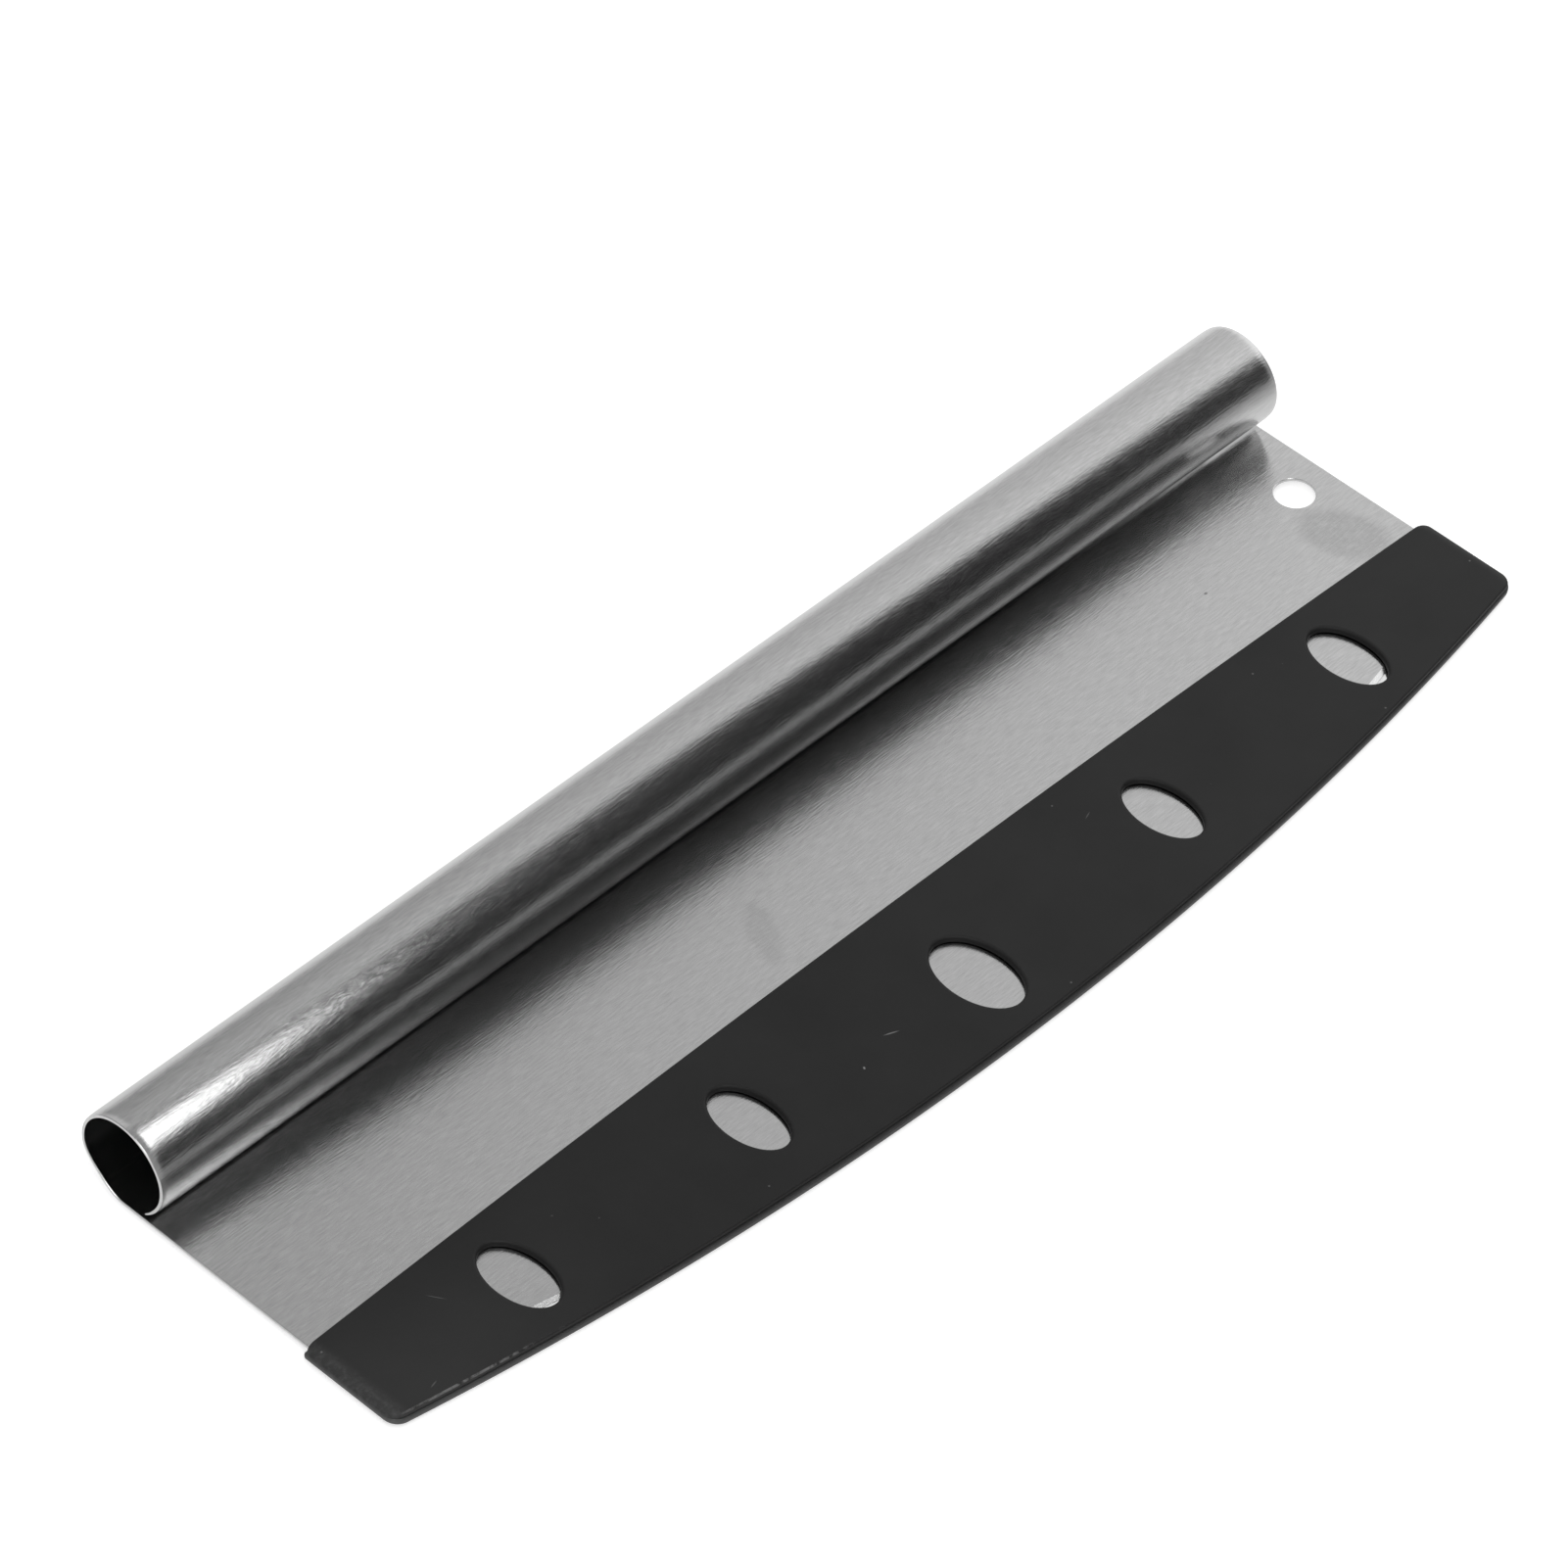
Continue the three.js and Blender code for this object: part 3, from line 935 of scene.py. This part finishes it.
def softbox(name, place, aim, size, levels, turn=0):
    """A rectangular lamp whose radiance runs from one level to another along its width."""
    lamp = bpy.data.lights.new(name, "AREA")
    lamp.shape = "RECTANGLE"
    lamp.size, lamp.size_y = size
    lamp.energy = math.pi * size[0] * size[1]
    lamp.use_nodes = True
    tree = lamp.node_tree
    spot = add_node(tree, "ShaderNodeNewGeometry").outputs["Parametric"]
    strength = remap(tree, along_axis(tree, spot, "X"), 0, 1, *levels)
    tree.links.new(strength, tree.nodes["Emission"].inputs["Strength"])
    box = new_object(name, lamp)
    box.location = place
    aimed = (Vector(aim) - Vector(place)).to_track_quat("-Z", "Y")
    turned = aimed @ Quaternion((0, 0, 1), math.radians(turn))
    box.rotation_euler = turned.to_euler()
    box.visible_camera = False


def studio_lamps():
    softbox(
        "back_panel",
        place=(0.502, 0.399, 0.285),
        aim=(0.183, -0.001, -0.574),
        size=(1.3, 1.04),
        levels=(1.56, 0.23),
    )
    softbox(
        "strip_light",
        place=(0.441, -0.47, 1.2),
        aim=(0.441, -0.47, 0),
        size=(0.17, 0.89),
        levels=(4.2, 4.2),
        turn=9.4,
    )
    softbox(
        "top_softbox",
        place=(-0.5, -0.45, 0.9),
        aim=(-0.2, -0.1, 0),
        size=(0.6, 0.8),
        levels=(4.0, 4.0),
    )


# Camera where the photograph was taken from, worked out from the object's edges in it

CAMERA_AZIMUTH = math.radians(-48.77)
CAMERA_ELEVATION = math.radians(45.27)
CAMERA_ROLL = math.radians(-3.33)
CAMERA_DISTANCE = 1.7816
CAMERA_TARGET = Vector((12.5, 32.1, 2.6)) * MM
SENSOR_MM = 36
LENS_MM = 186.4
SIGHT = 100


def photo_camera():
    back = Vector((
        math.sin(CAMERA_AZIMUTH) * math.cos(CAMERA_ELEVATION),
        -math.cos(CAMERA_AZIMUTH) * math.cos(CAMERA_ELEVATION),
        math.sin(CAMERA_ELEVATION),
    ))
    level_right = Vector((0, 0, 1)).cross(back).normalized()
    level_up = back.cross(level_right)
    up = level_up * math.cos(CAMERA_ROLL) + level_right * math.sin(CAMERA_ROLL)
    right = up.cross(back)
    lens = bpy.data.cameras.new("photo_camera")
    lens.sensor_width = SENSOR_MM
    lens.lens = LENS_MM
    lens.clip_end = SIGHT
    camera = new_object("photo_camera", lens)
    turn = Matrix((right, up, back)).transposed().to_4x4()
    camera.matrix_world = Matrix.Translation(CAMERA_TARGET + back * CAMERA_DISTANCE) @ turn
    bpy.context.scene.camera = camera


photo_camera()
place_blade()
place_guard()
white_floor()
studio_world()
studio_lamps()
bpy.context.scene.view_settings.view_transform = "Standard"
